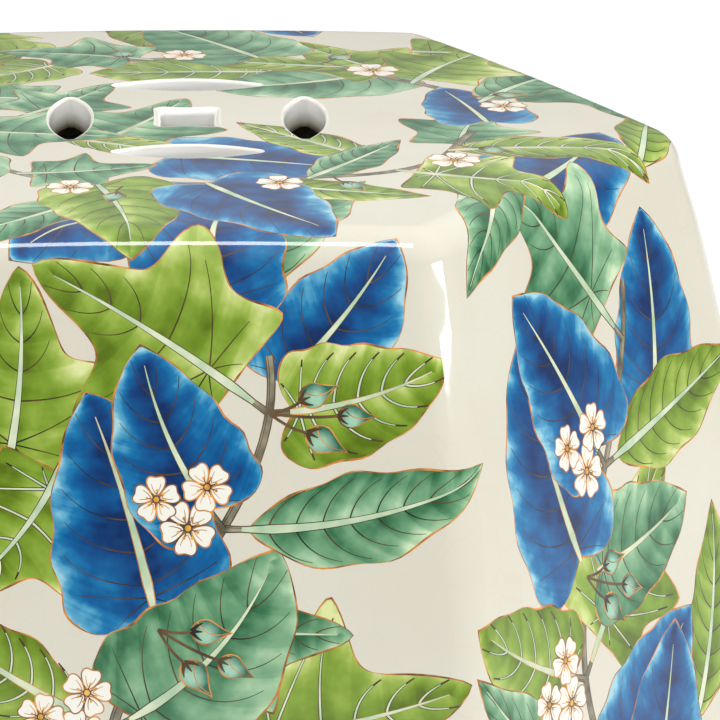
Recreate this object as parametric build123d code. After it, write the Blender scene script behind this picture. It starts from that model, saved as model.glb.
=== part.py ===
from build123d import *
import math
import os

# Hexagonal ceramic garden stool, in millimetres, standing on the floor at Z = 0.
# The wide front facet faces -Y, and a corner points along +X and along -X.

# Overall
HEIGHT = 457.0  # floor to the middle of the domed seat
RIM_WIDTH = 290.0  # corner to corner at the rim, before the corners are rounded
RIM_DEPTH = 234.0  # flat to flat at the rim
FRONT_WIDTH = 142.0  # front facet at the rim, between its two corners
BELLY_DEPTH = 286.0  # flat to flat at mid-height, where the barrel is widest
SEAT_CROWN = 3.0  # rise of the seat's middle above the middle of its front edge

# Ware
WALL = 9.0  # wall thickness, measured through the front facet
SEAT_THICKNESS = 9.0
BASE_THICKNESS = 12.0
CORNER_RADIUS = 14.5  # the six upright corners
INSIDE_CORNER_RADIUS = 6.0  # the same corners, inside the hollow
SHOULDER_RADIUS = 11.5  # seat to walls
FOOT_RADIUS = 6.0  # walls to the underside

# Luted joints
SKIRT_DROP = 34.0  # seat joint, below the middle of the seat
FOOT_RISE = 26.0  # base joint, above the foot's underside
COIL_RADIUS = 6.0

# Coin piercing in the seat
SIDE_SLOT_LENGTH = 53.0  # the slots left and right of the middle, before their tips are softened
SIDE_SLOT_WIDTH = 12.4
SIDE_SLOT_REACH = 34.5  # middle of the seat to the middle of a side slot
FRONT_SLOT_LENGTH = 48.0  # the slots before and behind the middle, likewise
FRONT_SLOT_WIDTH = 13.6
FRONT_SLOT_REACH = 37.5
EYE_WIDTH = 19.0  # square hole in the middle, corner to corner along X
EYE_DEPTH = 22.0
EYE_SAG = 2.0  # how far its sides bow inwards
SLOT_TIP_RADIUS = 2.2
PIERCING_EDGE = 1.4  # rounding of the pierced edges on top

# Base and feet
BASE_OPENING = 130.0
OPENING_EDGE = 3.0
PAD_THICKNESS = 3.0
PAD_DIAMETER = 24.0
PAD_INSET = 34.0  # pad's middle, in from the foot's corner

# Derived values
SWELL = BELLY_DEPTH / RIM_DEPTH
MIDDLE_Z = (HEIGHT + PAD_THICKNESS) / 2
RIM_Z = HEIGHT - SEAT_CROWN
SEAT_JOINT_Z = HEIGHT - SKIRT_DROP
BASE_JOINT_Z = PAD_THICKNESS + FOOT_RISE
FLOOR_OF_HOLLOW = PAD_THICKNESS + BASE_THICKNESS
DOME_RADIUS = ((RIM_DEPTH / 2) ** 2 + SEAT_CROWN**2) / (2 * SEAT_CROWN)
SIDE_ANGLE = math.degrees(math.atan2((RIM_WIDTH - FRONT_WIDTH) / 2, RIM_DEPTH / 2))
SIDE_RIM = RIM_WIDTH / 2 * math.cos(math.radians(SIDE_ANGLE))
REACH = RIM_WIDTH * SWELL  # longer than any section, for blanks that are cut to shape

# Outward direction of each facet in degrees from +X, and its distance from the axis at the rim
FACETS = [
    (-90.0, RIM_DEPTH / 2),
    (-SIDE_ANGLE, SIDE_RIM),
    (SIDE_ANGLE, SIDE_RIM),
    (90.0, RIM_DEPTH / 2),
    (180.0 - SIDE_ANGLE, SIDE_RIM),
    (180.0 + SIDE_ANGLE, SIDE_RIM),
]

# The upright corners at the rim, starting at the front facet's left end
CORNERS = [
    Vector(-FRONT_WIDTH / 2, -RIM_DEPTH / 2),
    Vector(FRONT_WIDTH / 2, -RIM_DEPTH / 2),
    Vector(RIM_WIDTH / 2, 0),
    Vector(FRONT_WIDTH / 2, RIM_DEPTH / 2),
    Vector(-FRONT_WIDTH / 2, RIM_DEPTH / 2),
    Vector(-RIM_WIDTH / 2, 0),
]


def section_scale(z, wall=0.0):
    """Size of the barrel's section at a height, as a share of the rim's."""
    half_depth = RIM_DEPTH / 2
    half_height = RIM_Z - MIDDLE_Z
    sag = half_depth * (SWELL - 1)
    bow_radius = (half_height**2 + sag**2) / (2 * sag)
    drop = bow_radius - math.sqrt(bow_radius**2 - (z - MIDDLE_Z) ** 2)
    return SWELL - (drop + wall) / half_depth


def facet_pair(rim_distance, direction, wall, low, high):
    """Slab with a bowed face on each side, as wide as one pair of opposite facets."""

    def at(z, side):
        return (side * rim_distance * section_scale(z, wall), z)

    outline = Polyline(at(high, -1), at(high, 1))
    outline += ThreePointArc(at(high, 1), at(MIDDLE_Z, 1), at(low, 1))
    outline += Polyline(at(low, 1), at(low, -1))
    outline += ThreePointArc(at(low, -1), at(MIDDLE_Z, -1), at(high, -1))
    profile = Plane.XZ * make_face(outline)
    return Rot(0, 0, direction) * extrude(profile, REACH, both=True)


def barrel(wall, low, high):
    """Six-sided barrel between two heights, inside the outer faces by the wall."""
    solid = None
    for direction, rim_distance in FACETS[:3]:
        slab = facet_pair(rim_distance, direction, wall, low, high)
        solid = slab if solid is None else solid & slab
    return solid


def under_dome(drop):
    """Blank under the seat's dome, lowered by a thickness, with the ball's poles out of the way."""
    ball = Rot(90, 0, 0) * Sphere(DOME_RADIUS - drop)
    return Pos(0, 0, HEIGHT - DOME_RADIUS) * ball


def upright_edges(solid):
    return [edge for edge in solid.edges() if edge.bounding_box().size.Z > HEIGHT / 4]


def edges_between(solid, low, high):
    found = []
    for edge in solid.edges():
        box = edge.bounding_box()
        if box.min.Z > low and box.max.Z < high:
            found.append(edge)
    return found


def lens(length, width):
    """Pointed slot, long along X, with softened tips."""
    tip = length / 2
    outline = ThreePointArc((-tip, 0), (0, width / 2), (tip, 0))
    outline += ThreePointArc((tip, 0), (0, -width / 2), (-tip, 0))
    face = make_face(outline)
    return fillet(face.vertices(), SLOT_TIP_RADIUS)


def eye():
    """Square hole whose sides bow inwards."""
    x = EYE_WIDTH / 2
    y = EYE_DEPTH / 2
    outline = ThreePointArc((-x, -y), (0, EYE_SAG - y), (x, -y))
    outline += ThreePointArc((x, -y), (x - EYE_SAG, 0), (x, y))
    outline += ThreePointArc((x, y), (0, y - EYE_SAG), (-x, y))
    outline += ThreePointArc((-x, y), (EYE_SAG - x, 0), (-x, -y))
    face = make_face(outline)
    return fillet(face.vertices(), SLOT_TIP_RADIUS)


def coin_cutter():
    """The five openings of the piercing, as one upright cutter through the seat."""
    front_slot = lens(FRONT_SLOT_LENGTH, FRONT_SLOT_WIDTH)
    side_slot = Rot(0, 0, 90) * lens(SIDE_SLOT_LENGTH, SIDE_SLOT_WIDTH)
    openings = [
        eye(),
        Pos(0, -FRONT_SLOT_REACH) * front_slot,
        Pos(0, FRONT_SLOT_REACH) * front_slot,
        Pos(-SIDE_SLOT_REACH, 0) * side_slot,
        Pos(SIDE_SLOT_REACH, 0) * side_slot,
    ]
    depth = 3 * SEAT_THICKNESS
    return [Pos(0, 0, HEIGHT - depth) * extrude(opening, 2 * depth) for opening in openings]


def outer_body():
    body = barrel(0, PAD_THICKNESS, HEIGHT + SEAT_CROWN)
    body = fillet(upright_edges(body), CORNER_RADIUS)
    body = body & under_dome(0)
    shoulder = edges_between(body, RIM_Z - SHOULDER_RADIUS, HEIGHT + SEAT_CROWN)
    body = fillet(shoulder, SHOULDER_RADIUS)
    foot = edges_between(body, PAD_THICKNESS - FOOT_RADIUS / 2, PAD_THICKNESS + FOOT_RADIUS / 2)
    return fillet(foot, FOOT_RADIUS)


def hollow():
    space = barrel(WALL, FLOOR_OF_HOLLOW, HEIGHT)
    space = fillet(upright_edges(space), INSIDE_CORNER_RADIUS)
    return space & under_dome(SEAT_THICKNESS)


def layer(low, high):
    """Blank for everything between two heights."""
    return Pos(0, 0, (low + high) / 2) * Box(2 * REACH, 2 * REACH, high - low)


def seat_top(shell):
    seat = shell & layer(SEAT_JOINT_Z, 2 * HEIGHT)
    for cutter in coin_cutter():
        seat = seat - cutter
    pierced = [edge for edge in seat.edges() if pierced_edge(edge)]
    return fillet(pierced, PIERCING_EDGE)


def pierced_edge(edge):
    """True on the top edges of the piercing, which lie near the middle of the dome."""
    box = edge.bounding_box()
    reach_x = SIDE_SLOT_REACH + SIDE_SLOT_WIDTH
    reach_y = FRONT_SLOT_REACH + FRONT_SLOT_WIDTH
    near = max(-box.min.X, box.max.X) < reach_x and max(-box.min.Y, box.max.Y) < reach_y
    return near and box.min.Z > HEIGHT - SEAT_THICKNESS / 2


def wall_panels(shell):
    tube = shell & layer(BASE_JOINT_Z, SEAT_JOINT_Z)
    panels = []
    for number in range(len(CORNERS)):
        start = CORNERS[number] * 2
        end = CORNERS[(number + 1) % len(CORNERS)] * 2
        wedge = make_face(Polyline((0, 0), start, end, close=True))
        panels.append(tube & extrude(wedge, HEIGHT))
    return panels


def base_ring(shell):
    base = shell & layer(-HEIGHT, BASE_JOINT_Z)
    base = base - Cylinder(BASE_OPENING / 2, 2 * HEIGHT)
    mouth = [edge for edge in base.edges() if edge.geom_type == GeomType.CIRCLE and on_opening(edge)]
    return fillet(mouth, OPENING_EDGE)


def on_opening(edge):
    return abs(edge.radius - BASE_OPENING / 2) < 0.01


def ring_coil(inside, z):
    """Half-round coil on the inner faces of the walls, all the way round at one height."""
    ring = None
    for direction, rim_distance in FACETS:
        reach = rim_distance * section_scale(z, WALL)
        rod = Pos(reach, 0, z) * Rot(90, 0, 0) * Cylinder(COIL_RADIUS, REACH)
        rod = Rot(0, 0, direction) * rod
        ring = rod if ring is None else ring + rod
    return ring & inside


def corner_coil(corner, inside, rings):
    """Coil pressed into one inside corner, between the two ring coils."""

    def at(z):
        point = corner * section_scale(z, WALL + COIL_RADIUS / 4)
        return Vector(point.X, point.Y, z)

    path = ThreePointArc(at(BASE_JOINT_Z), at(MIDDLE_Z), at(SEAT_JOINT_Z))
    section = Plane(origin=path @ 0, z_dir=path % 0) * Circle(COIL_RADIUS)
    coil = sweep(section, path=path) & inside
    for ring in rings:
        coil = coil - ring
    return coil


def foot_pad(corner):
    foot = corner * section_scale(PAD_THICKNESS)
    place = foot * ((foot.length - PAD_INSET) / foot.length)
    pad = Pos(place.X, place.Y, PAD_THICKNESS / 2) * Cylinder(PAD_DIAMETER / 2, PAD_THICKNESS)
    return pad


def write(name, solid):
    export_step(solid, f"parts/{name}.step")


os.makedirs("parts", exist_ok=True)
inside = hollow()
shell = outer_body() - inside

write("seat_top", seat_top(shell))
write("base_ring", base_ring(shell))
for number, panel in enumerate(wall_panels(shell), start=1):
    write(f"wall_panel_{number}", panel)

shoulder_coil = ring_coil(inside, SEAT_JOINT_Z)
base_coil = ring_coil(inside, BASE_JOINT_Z)
write("shoulder_coil", shoulder_coil)
write("base_coil", base_coil)
for number, corner in enumerate(CORNERS, start=1):
    write(f"corner_coil_{number}", corner_coil(corner, inside, [shoulder_coil, base_coil]))
    write(f"foot_pad_{number}", foot_pad(corner))
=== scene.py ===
import math
import random

import bpy
import numpy as np
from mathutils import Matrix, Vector
from mathutils.geometry import delaunay_2d_cdt


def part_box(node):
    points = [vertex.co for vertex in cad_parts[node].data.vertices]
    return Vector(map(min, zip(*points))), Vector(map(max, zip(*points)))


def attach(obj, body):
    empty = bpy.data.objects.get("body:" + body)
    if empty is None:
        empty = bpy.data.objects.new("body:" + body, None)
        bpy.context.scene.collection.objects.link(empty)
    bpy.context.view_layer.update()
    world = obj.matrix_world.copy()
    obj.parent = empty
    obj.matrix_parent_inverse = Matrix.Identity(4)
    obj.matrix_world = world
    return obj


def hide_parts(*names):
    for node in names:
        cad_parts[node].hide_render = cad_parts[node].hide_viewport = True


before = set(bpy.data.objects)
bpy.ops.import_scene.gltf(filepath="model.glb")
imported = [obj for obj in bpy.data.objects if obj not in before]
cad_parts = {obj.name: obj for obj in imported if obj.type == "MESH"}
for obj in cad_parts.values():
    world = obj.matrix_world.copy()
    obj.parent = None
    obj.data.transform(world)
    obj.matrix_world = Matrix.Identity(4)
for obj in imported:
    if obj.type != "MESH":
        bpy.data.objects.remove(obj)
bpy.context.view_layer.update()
mm = 0.001

# Shape of the ware in millimetres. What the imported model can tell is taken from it.
stool = {
    "height": 457.0,        # floor to the middle of the seat
    "standing": 3.0,        # felt under the foot
    "rimWidth": 290.0,      # corner to corner at the rim, before rounding
    "rimDepth": 234.0,
    "frontWidth": 142.0,
    "crown": 3.0,           # rise of the seat's middle above its front edge
    "wall": 9.0,
    "seat": 9.0,
    "base": 12.0,
    "corner": 14.5,
    "insideCorner": 6.0,
    "shoulder": 11.5,
    "foot": 6.0,
    "mouth": 65.0,          # radius of the base opening
    "mouthEdge": 3.0,
    "bellyDepth": -2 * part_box("wall_panel_1")[0].y / mm,
    "seatJoint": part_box("seat_top")[0].z / mm,
    "baseJoint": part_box("base_ring")[1].z / mm,
}
halfDepth = stool["rimDepth"] / 2
swell = stool["bellyDepth"] / stool["rimDepth"]
middleZ = (stool["height"] + stool["standing"]) / 2
rimZ = stool["height"] - stool["crown"]
bowDepth = halfDepth * (swell - 1)
bowRadius = ((rimZ - middleZ) ** 2 + bowDepth ** 2) / (2 * bowDepth)
domeRadius = (halfDepth ** 2 + stool["crown"] ** 2) / (2 * stool["crown"])
domeCentre = stool["height"] - domeRadius


def sectionScale(z):
    # size of the level section, as a share of the rim's
    return swell - (bowRadius - np.sqrt(bowRadius ** 2 - (z - middleZ) ** 2)) / halfDepth


def heightAt(w):
    # w runs up the facet from mid-height, measured on the surface
    return middleZ + bowRadius * np.sin(w / bowRadius)


def upTheWall(z):
    return bowRadius * np.arcsin((z - middleZ) / bowRadius)


def domeHeight(x, y):
    return domeCentre + np.sqrt(domeRadius ** 2 - x ** 2 - y ** 2)


def makeFacets():
    wide, deep, front = stool["rimWidth"] / 2, halfDepth, stool["frontWidth"] / 2
    right = [(front, -deep), (wide, 0), (front, deep)]
    corners = np.array([(-front, -deep), *right, (-front, deep), (-wide, 0)])
    facets = []
    for number in range(6):
        start, end = corners[number], corners[(number + 1) % 6]
        along = (end - start) / np.linalg.norm(end - start)
        out = np.array([along[1], -along[0]])
        ends = {"start": along @ start, "end": along @ end}
        facets.append({"out": out, "along": along, "rim": out @ start, **ends})
    for number, facet in enumerate(facets):
        after = facets[(number + 1) % 6]
        facet["turnEnd"] = after["turnStart"] = math.acos(facet["out"] @ after["out"])
    return facets


facets = makeFacets()


def flatPart(facet, z, wall, radius):
    # size of the section, and the middle and half length of the facet's straight part
    size = sectionScale(z) - wall / halfDepth
    first = facet["start"] * size + radius * math.tan(facet["turnStart"] / 2)
    last = facet["end"] * size - radius * math.tan(facet["turnEnd"] / 2)
    return size, (first + last) / 2, (last - first) / 2


def wallReach(facet, z, wall=0.0, radius=stool["corner"]):
    # how far the facet goes left and right of its middle, round to the middle of each corner
    half = flatPart(facet, z, wall, radius)[2]
    return half + radius * facet["turnStart"] / 2, half + radius * facet["turnEnd"] / 2


def wallPoint(facet, x, z, wall=0.0, radius=stool["corner"]):
    size, middle, half = flatPart(facet, z, wall, radius)
    angle = np.clip(np.abs(x) - half, 0, None) / radius
    reach = facet["rim"] * size - radius * (1 - np.cos(angle))
    along = middle + np.sign(x) * (np.minimum(np.abs(x), half) + radius * np.sin(angle))
    flat = reach[:, None] * facet["out"] + along[:, None] * facet["along"]
    return np.column_stack([flat, z])


def insideWall(facet, x, z):
    # the point of the inner face behind a point of the outer face
    left, right = wallReach(facet, z)
    leftIn, rightIn = wallReach(facet, z, stool["wall"], stool["insideCorner"])
    share = np.where(x < 0, leftIn / left, rightIn / right)
    return wallPoint(facet, x * share, z, stool["wall"], stool["insideCorner"])


# Seat: flat inside its edge line, then over the shoulder and down the skirt by its distance from that line
def makeSeat():
    radius = stool["shoulder"]
    lean = math.asin((rimZ - radius - middleZ) / bowRadius)
    last = math.pi / 2 - lean
    edge = {"last": last, "lean": lean, "distance": []}
    for facet in facets:
        low, high = facet["rim"] - 2 * radius, facet["rim"]
        for step in range(40):
            distance = (low + high) / 2
            first = math.asin(distance / domeRadius)
            end = distance + radius * (math.sin(last) - math.sin(first))
            z = domeHeight(distance, 0.0) - radius * (math.cos(first) - math.cos(last))
            if end < facet["rim"] * sectionScale(z):
                low = distance
            else:
                high = distance
        edge["distance"].append(distance)
        if facet is facets[0]:
            edge["inset"] = end - distance
            edge["arc"] = radius * (last - first)
            edge["skirt"] = (z - stool["seatJoint"]) / math.cos(lean)
    edge["round"] = stool["corner"] - edge["inset"]
    edge["joint"] = edge["arc"] + edge["skirt"]
    core = []
    for number in range(6):
        before, here = facets[number - 1], facets[number]
        sides = np.array([before["out"], here["out"]])
        reach = np.array([edge["distance"][number - 1], edge["distance"][number]]) - edge["round"]
        core.append(np.linalg.solve(sides, reach))
    edge["core"] = np.array(core)
    return edge


seatEdge = makeSeat()


def nearestOnLoop(points, loop):
    # nearest point of a closed outline to each point
    best = np.full(len(points), np.inf)
    found = np.zeros((len(points), 2))
    ends = np.roll(loop, -1, axis=0)
    for start, end in zip(loop, ends):
        run = end - start
        share = np.clip((points - start) @ run / max(run @ run, 1e-12), 0, 1)
        near = start + share[:, None] * run
        gap = np.sum((points - near) ** 2, axis=1)
        closer = gap < best
        best[closer] = gap[closer]
        found[closer] = near[closer]
    return found, np.sqrt(best)


def outsideSeat(points):
    # distance beyond the seat's edge line, the nearest point on that line, and its outward direction
    core = seatEdge["core"]
    beyond = np.max([(points - core[n]) @ facets[n]["out"] for n in range(6)], axis=0)
    near, gap = nearestOnLoop(points, core)
    outside = beyond > 1e-9
    way = np.where(outside[:, None], (points - near) / np.maximum(gap, 1e-9)[:, None], 0)
    distance = np.where(outside, gap, beyond) - seatEdge["round"]
    return distance, near + way * seatEdge["round"], way


def seatPoint(points):
    radius, lean = stool["shoulder"], seatEdge["lean"]
    distance, line, way = outsideSeat(points)
    result = np.column_stack([points, domeHeight(points[:, 0], points[:, 1])])
    over = np.nonzero(distance > 0)[0]
    line, way, distance = line[over], way[over], distance[over]
    top = domeHeight(line[:, 0], line[:, 1])
    first = np.arcsin(np.sum(line * way, axis=1) / domeRadius)
    angle = np.minimum(first + distance / radius, seatEdge["last"])
    arc = radius * (seatEdge["last"] - first)
    out = radius * (np.sin(angle) - np.sin(first))
    drop = radius * (np.cos(first) - np.cos(angle))
    down = np.clip(distance - arc, 0, None)
    share = down / (seatEdge["joint"] - arc)
    z = top - drop
    z = z - share * (z - stool["seatJoint"])
    rounded = np.column_stack([line + way * (out + down * math.sin(lean))[:, None], z])
    share = np.clip(share, 0, 1)
    blend = (share * share * (3 - 2 * share))[:, None]
    result[over] = rounded * (1 - blend) + skirtPoint(line, way, z) * blend
    return result


def skirtPoint(line, way, z):
    # the same place on the true wall, by the facet that each point looks out from
    result = np.zeros((len(line), 3))
    facing = np.argmax([way @ facet["out"] for facet in facets], axis=0)
    for number, facet in enumerate(facets):
        mine = facing == number
        if mine.any():
            result[mine] = wallPoint(facet, skirtX(facet, line[mine], way[mine], z[mine]), z[mine])
    return result


def skirtX(facet, line, way, z):
    half = flatPart(facet, z, 0.0, stool["corner"])
    angle = np.arctan2(way @ facet["along"], way @ facet["out"])
    straight = np.clip(line @ facet["along"] - half[1], -half[2], half[2])
    return np.where(np.abs(angle) < 1e-4, straight, np.sign(angle) * half[2] + stool["corner"] * angle)


def surfaceNormals(place, points, step=0.05):
    ahead = place(points + [step, 0]) - place(points - [step, 0])
    up = place(points + [0, step]) - place(points - [0, step])
    normal = np.cross(ahead, up)
    return normal / np.linalg.norm(normal, axis=1)[:, None]


print("shape: facets", len(facets), "shoulder inset", round(seatEdge["inset"], 2))


# Glazes and inks
def srgb(red, green, blue):
    values = [channel / 255 for channel in (red, green, blue)]
    linear = [v / 12.92 if v <= 0.04045 else ((v + 0.055) / 1.055) ** 2.4 for v in values]
    return (*linear, 1.0)


def grey(value):
    return (value, value, value, 1)


glaze = {"roughness": 0.06, "ripple": 0.012, "rippleScale": 55.0, "ior": 1.5}


def newMaterial(name, roughness, ior):
    material = bpy.data.materials.new(name)
    material.use_nodes = True
    nodes = material.node_tree.nodes
    shader = nodes["Principled BSDF"]
    shader.inputs["Roughness"].default_value = roughness
    shader.inputs["IOR"].default_value = ior
    return material, nodes, material.node_tree.links, shader


def addRipple(nodes, links, shader):
    # the glaze lies in faint waves
    place = nodes.new("ShaderNodeTexCoord")
    noise = nodes.new("ShaderNodeTexNoise")
    noise.inputs["Scale"].default_value = glaze["rippleScale"]
    noise.inputs["Detail"].default_value = 1.5
    bump = nodes.new("ShaderNodeBump")
    bump.inputs["Strength"].default_value = glaze["ripple"]
    bump.inputs["Distance"].default_value = 0.01
    links.new(place.outputs["Object"], noise.inputs["Vector"])
    links.new(noise.outputs["Fac"], bump.inputs["Height"])
    links.new(bump.outputs["Normal"], shader.inputs["Normal"])
    return place


def addRamp(nodes, links, factor, stops):
    ramp = nodes.new("ShaderNodeValToRGB")
    elements = ramp.color_ramp.elements
    while len(elements) < len(stops):
        elements.new(0.5)
    for element, (place, colour) in zip(elements, stops):
        element.position = place
        element.color = colour
    links.new(factor, ramp.inputs["Fac"])
    return ramp


def addMath(nodes, links, operation, first, second):
    node = nodes.new("ShaderNodeMath")
    node.operation = operation
    for socket, value in zip(node.inputs, (first, second)):
        if isinstance(value, (int, float)):
            socket.default_value = value
        else:
            links.new(value, socket)
    return node.outputs[0]


def addNoise(nodes, links, vector, scale, detail):
    noise = nodes.new("ShaderNodeTexNoise")
    noise.inputs["Scale"].default_value = scale
    noise.inputs["Detail"].default_value = detail
    links.new(vector, noise.inputs["Vector"])
    return noise.outputs["Fac"]


creamGlaze = {
    "light": srgb(205, 202, 187),
    "warm": srgb(200, 194, 177),
    "craze": srgb(176, 164, 140),
    "crazeCells": 95.0,
    "speck": srgb(150, 104, 66),
    "speckCells": 42.0,
}


def makeCream():
    material, nodes, links, shader = newMaterial("cream_glaze", glaze["roughness"], glaze["ior"])
    place = addRipple(nodes, links, shader)
    cloud = addNoise(nodes, links, place.outputs["Object"], 14.0, 3.0)
    ground = addRamp(nodes, links, cloud, [(0.35, creamGlaze["light"]), (0.75, creamGlaze["warm"])])
    craze = nodes.new("ShaderNodeTexVoronoi")
    craze.feature = "DISTANCE_TO_EDGE"
    craze.inputs["Scale"].default_value = creamGlaze["crazeCells"]
    links.new(place.outputs["Object"], craze.inputs["Vector"])
    fade = addNoise(nodes, links, place.outputs["Object"], 30.0, 2.0)
    hair = addRamp(nodes, links, craze.outputs["Distance"], [(0.0, grey(0.16)), (0.022, grey(0))])
    strength = addMath(nodes, links, "MULTIPLY", hair.outputs["Color"], fade)
    crazed = nodes.new("ShaderNodeMixRGB")
    crazed.inputs["Color2"].default_value = creamGlaze["craze"]
    links.new(strength, crazed.inputs["Fac"])
    links.new(ground.outputs["Color"], crazed.inputs["Color1"])
    speck = nodes.new("ShaderNodeTexVoronoi")
    speck.inputs["Scale"].default_value = creamGlaze["speckCells"]
    links.new(place.outputs["Object"], speck.inputs["Vector"])
    dot = addRamp(nodes, links, speck.outputs["Distance"], [(0.0, grey(1)), (0.035, grey(0))])
    rare = addRamp(nodes, links, speck.outputs["Color"], [(0.80, grey(0)), (0.82, grey(0.8))])
    shown = addMath(nodes, links, "MULTIPLY", dot.outputs["Color"], rare.outputs["Color"])
    specked = nodes.new("ShaderNodeMixRGB")
    specked.inputs["Color2"].default_value = creamGlaze["speck"]
    links.new(shown, specked.inputs["Fac"])
    links.new(crazed.outputs["Color"], specked.inputs["Color1"])
    links.new(specked.outputs["Color"], shader.inputs["Base Color"])
    return material


# Leaf washes: tones from thick to thin, and how much each layer of the wash thins them
fieldTone = [(0.0, grey(0.12)), (0.18, grey(0.0)), (0.72, grey(1.0)), (0.94, grey(0.72)), (1.0, grey(0.12))]
washes = {
    "cobalt": {
        "tones": [(0.0, srgb(0, 38, 86)), (0.22, srgb(0, 62, 118)), (0.45, srgb(0, 84, 139)),
                  (0.65, srgb(18, 111, 160)), (0.85, srgb(84, 156, 188)), (1.0, srgb(150, 194, 205))],
        "field": 0.10, "edge": 0.25, "margin": 1.0, "streak": 0.25, "pool": 1.4, "lift": 0.04,
    },
    "jade": {
        "tones": [(0.0, srgb(34, 88, 56)), (0.2, srgb(64, 116, 80)), (0.4, srgb(94, 142, 104)),
                  (0.6, srgb(120, 162, 124)), (0.8, srgb(152, 186, 148)), (1.0, srgb(192, 212, 176))],
        "field": 0.18, "edge": 0.38, "margin": 0.5, "streak": 0.2, "pool": 1.4, "lift": 0.04,
    },
    "lime": {
        "tones": [(0.0, srgb(80, 102, 12)), (0.2, srgb(100, 128, 26)), (0.4, srgb(118, 147, 44)),
                  (0.6, srgb(140, 164, 66)), (0.8, srgb(172, 188, 102)), (1.0, srgb(206, 212, 150))],
        "field": 0.18, "edge": 0.45, "margin": 0.5, "streak": 0.2, "pool": 1.4, "lift": 0.0,
    },
}


def makeWash(kind):
    # watery leaf colour: it pools in places, pales along parts of the margin and fades between the veins
    wash = washes[kind]
    material, nodes, links, shader = newMaterial(kind + "_wash", glaze["roughness"], glaze["ior"])
    addRipple(nodes, links, shader)
    between = nodes.new("ShaderNodeUVMap")
    between.uv_map = "wash"
    leaf = nodes.new("ShaderNodeUVMap")
    leaf.uv_map = "brush"
    parts = nodes.new("ShaderNodeSeparateXYZ")
    links.new(between.outputs["UV"], parts.inputs["Vector"])
    stretch = nodes.new("ShaderNodeMapping")
    stretch.inputs["Scale"].default_value = (4.5, 1.4, 1.0)
    links.new(between.outputs["UV"], stretch.inputs["Vector"])
    field = addMath(nodes, links, "FRACT", parts.outputs["X"], 0.0)
    share = parts.outputs["Y"]
    patches = addNoise(nodes, links, leaf.outputs["UV"], 2.2, 1.0)
    margin = addMath(nodes, links, "MULTIPLY", share, share)
    margin = addMath(nodes, links, "MULTIPLY", margin, patches)
    layers = {
        "field": addRamp(nodes, links, field, fieldTone).outputs["Color"],
        "edge": share,
        "margin": margin,
        "streak": addNoise(nodes, links, stretch.outputs["Vector"], 1.0, 3.0),
        "pool": addNoise(nodes, links, leaf.outputs["UV"], 4.6, 3.5),
    }
    tone = wash["lift"] - (wash["streak"] + wash["pool"]) / 2
    for layer, value in layers.items():
        tone = addMath(nodes, links, "ADD", tone, addMath(nodes, links, "MULTIPLY", value, wash[layer]))
    colour = addRamp(nodes, links, tone, wash["tones"])
    links.new(colour.outputs["Color"], shader.inputs["Base Color"])
    return material


def makeInk(name, dark, light, scale):
    # brushed line: the colour breaks from dark to light along the stroke
    material, nodes, links, shader = newMaterial(name, glaze["roughness"], glaze["ior"])
    place = addRipple(nodes, links, shader)
    load = addNoise(nodes, links, place.outputs["Object"], scale, 2.0)
    colour = addRamp(nodes, links, load, [(0.35, dark), (0.65, light)])
    links.new(colour.outputs["Color"], shader.inputs["Base Color"])
    return material


def makePetal(name, inner, outer, start, reach):
    # pale petal, tinted towards its heart by the distance stored in the wash map
    material, nodes, links, shader = newMaterial(name, glaze["roughness"], glaze["ior"])
    place = addRipple(nodes, links, shader)
    wash = nodes.new("ShaderNodeUVMap")
    wash.uv_map = "wash"
    parts = nodes.new("ShaderNodeSeparateXYZ")
    links.new(wash.outputs["UV"], parts.inputs["Vector"])
    uneven = addNoise(nodes, links, place.outputs["Object"], 260.0, 2.0)
    uneven = addMath(nodes, links, "MULTIPLY", uneven, 0.35)
    depth = addMath(nodes, links, "ADD", parts.outputs["X"], uneven)
    colour = addRamp(nodes, links, depth, [(start, inner), (reach, outer)])
    links.new(colour.outputs["Color"], shader.inputs["Base Color"])
    return material


def makeHoleGlazeAndShade():
    # white glaze on the walls of the piercing, cream at the lip, and darker towards the lower edge: painted
    # shade deep in the hole
    material, nodes, links, shader = newMaterial("hole_glaze_shaded", glaze["roughness"], glaze["ior"])
    place = addRipple(nodes, links, shader)
    parts = nodes.new("ShaderNodeSeparateXYZ")
    links.new(place.outputs["Object"], parts.inputs["Vector"])
    above = addMath(nodes, links, "SUBTRACT", parts.outputs["Z"], (stool["height"] - stool["seat"]) * mm)
    level = addMath(nodes, links, "DIVIDE", above, stool["seat"] * mm)
    uneven = addNoise(nodes, links, place.outputs["Object"], 160.0, 2.0)
    uneven = addMath(nodes, links, "MULTIPLY", uneven, 0.12)
    level = addMath(nodes, links, "ADD", level, addMath(nodes, links, "SUBTRACT", uneven, 0.06))
    # from painted shade at the lower edge, up through white glaze, to the cream lip
    stops = [(0.0, srgb(120, 110, 92)), (0.2, srgb(206, 203, 192)), (0.5, srgb(246, 246, 242)),
             (0.86, srgb(247, 246, 241)), (0.97, srgb(220, 217, 204))]
    links.new(addRamp(nodes, links, level, stops).outputs["Color"], shader.inputs["Base Color"])
    return material


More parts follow.
